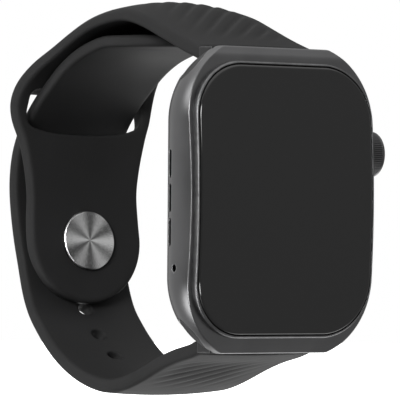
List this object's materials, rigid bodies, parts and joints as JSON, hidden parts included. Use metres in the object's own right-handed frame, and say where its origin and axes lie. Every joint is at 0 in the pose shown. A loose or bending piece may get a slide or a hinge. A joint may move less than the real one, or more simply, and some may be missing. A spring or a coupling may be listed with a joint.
{
  "type": "smartwatch",
  "caption": "Rounded rectangular smartwatch with an arched glass front, a side crown and a rubber pin-and-tuck band closed into a loop.",
  "frame": {"origin": "centre of the flat skin face of the round back window", "axes": "+X to the crown side (3 o'clock), +Y from the screen to the wrist, +Z to the 12 o'clock end"},
  "size_m": [0.0389, 0.0646, 0.0626],
  "materials": {
    "case_metal": "bead blasted, dark",
    "ring_metal": "bead blasted, dark",
    "cover_glass": "polished, dark",
    "seal_black": "matt",
    "display": "gloss black",
    "plate_steel": "brushed",
    "flex_film": "amber film",
    "back_plastic": "gloss black",
    "back_glass": "polished, dark",
    "screw_steel": "plain",
    "board_green": "solder mask",
    "led_resin": "clear resin",
    "coil_copper": "enamelled copper",
    "ferrite": "matt",
    "battery_foil": "foil",
    "wrap_film": "film",
    "chip_black": "matt",
    "module_plastic": "matt",
    "mesh_metal": "woven",
    "can_gold": "plated",
    "crown_metal": "dark",
    "cap_black": "gloss black",
    "shaft_steel": "ground",
    "encoder_white": "printed",
    "strap_rubber": "matt",
    "lug_plastic": "satin",
    "stud_steel": "radially brushed"
  },
  "bodies": {
    "case": {"case_frame": "case_metal", "bezel_ring": "ring_metal", "cover_glass": "cover_glass", "glass_gasket": "seal_black", "display_panel": "display", "display_bracket": "plate_steel", "display_flex": "flex_film", "back_cover": "back_plastic", "back_crystal": "back_glass", "crystal_gasket": "seal_black", "back_screws": "screw_steel", "sensor_board": "board_green", "sensor_leds": "led_resin", "charging_coil": "coil_copper", "coil_ferrite": "ferrite", "battery": "battery_foil", "battery_wrap": "wrap_film", "main_board": "board_green", "board_chips": "chip_black", "board_screws": "screw_steel", "speaker_module": "module_plastic", "speaker_mesh": "mesh_metal", "microphone": "can_gold", "mic_mesh": "mesh_metal", "vibration_motor": "plate_steel", "antenna_strip": "flex_film", "crown_bush": "can_gold", "crown_switch": "plate_steel", "side_button_clip": "plate_steel", "side_button_switch": "plate_steel"},
    "crown_carriage": {"crown_plunger": "module_plastic"},
    "crown": {"crown_knob": "crown_metal", "crown_cap": "cap_black", "crown_shaft": "shaft_steel", "crown_clip": "shaft_steel", "crown_encoder": "encoder_white", "crown_seal": "seal_black"},
    "side_button": {"side_button": "case_metal"},
    "release_upper": {"release_button_upper": "case_metal"},
    "release_lower": {"release_button_lower": "case_metal"},
    "band": {"upper_strap": "strap_rubber", "lower_strap": "strap_rubber", "upper_lug": "lug_plastic", "lower_lug": "lug_plastic", "lug_catches": "shaft_steel", "stud_disc": "stud_steel", "stud_post": "stud_steel"}
  },
  "joints": [
    {"name": "crown_press", "type": "slide", "parent": "case", "child": "crown_carriage", "axis": [-1, 0, 0], "range_m": [0, 0.00035], "stiffness_N_per_m": 1500, "springref_m": -0.0003},
    {"name": "crown_turn", "type": "hinge", "parent": "crown_carriage", "child": "crown", "pos_m": [0, -0.0045, 0.0075], "axis": [1, 0, 0], "continuous": true},
    {"name": "side_button_press", "type": "slide", "parent": "case", "child": "side_button", "axis": [-1, 0, 0], "range_m": [0, 0.00035], "stiffness_N_per_m": 1500, "springref_m": -0.0003},
    {"name": "release_upper_press", "type": "slide", "parent": "case", "child": "release_upper", "axis": [0, -1, 0], "range_m": [0, 0.0004], "stiffness_N_per_m": 1200, "springref_m": -0.0003},
    {"name": "release_lower_press", "type": "slide", "parent": "case", "child": "release_lower", "axis": [0, -1, 0], "range_m": [0, 0.0004], "stiffness_N_per_m": 1200, "springref_m": -0.0003},
    {"name": "band_slide", "type": "slide", "parent": "case", "child": "band", "axis": [1, 0, 0], "range_m": [-0.024, 0.024]}
  ]
}
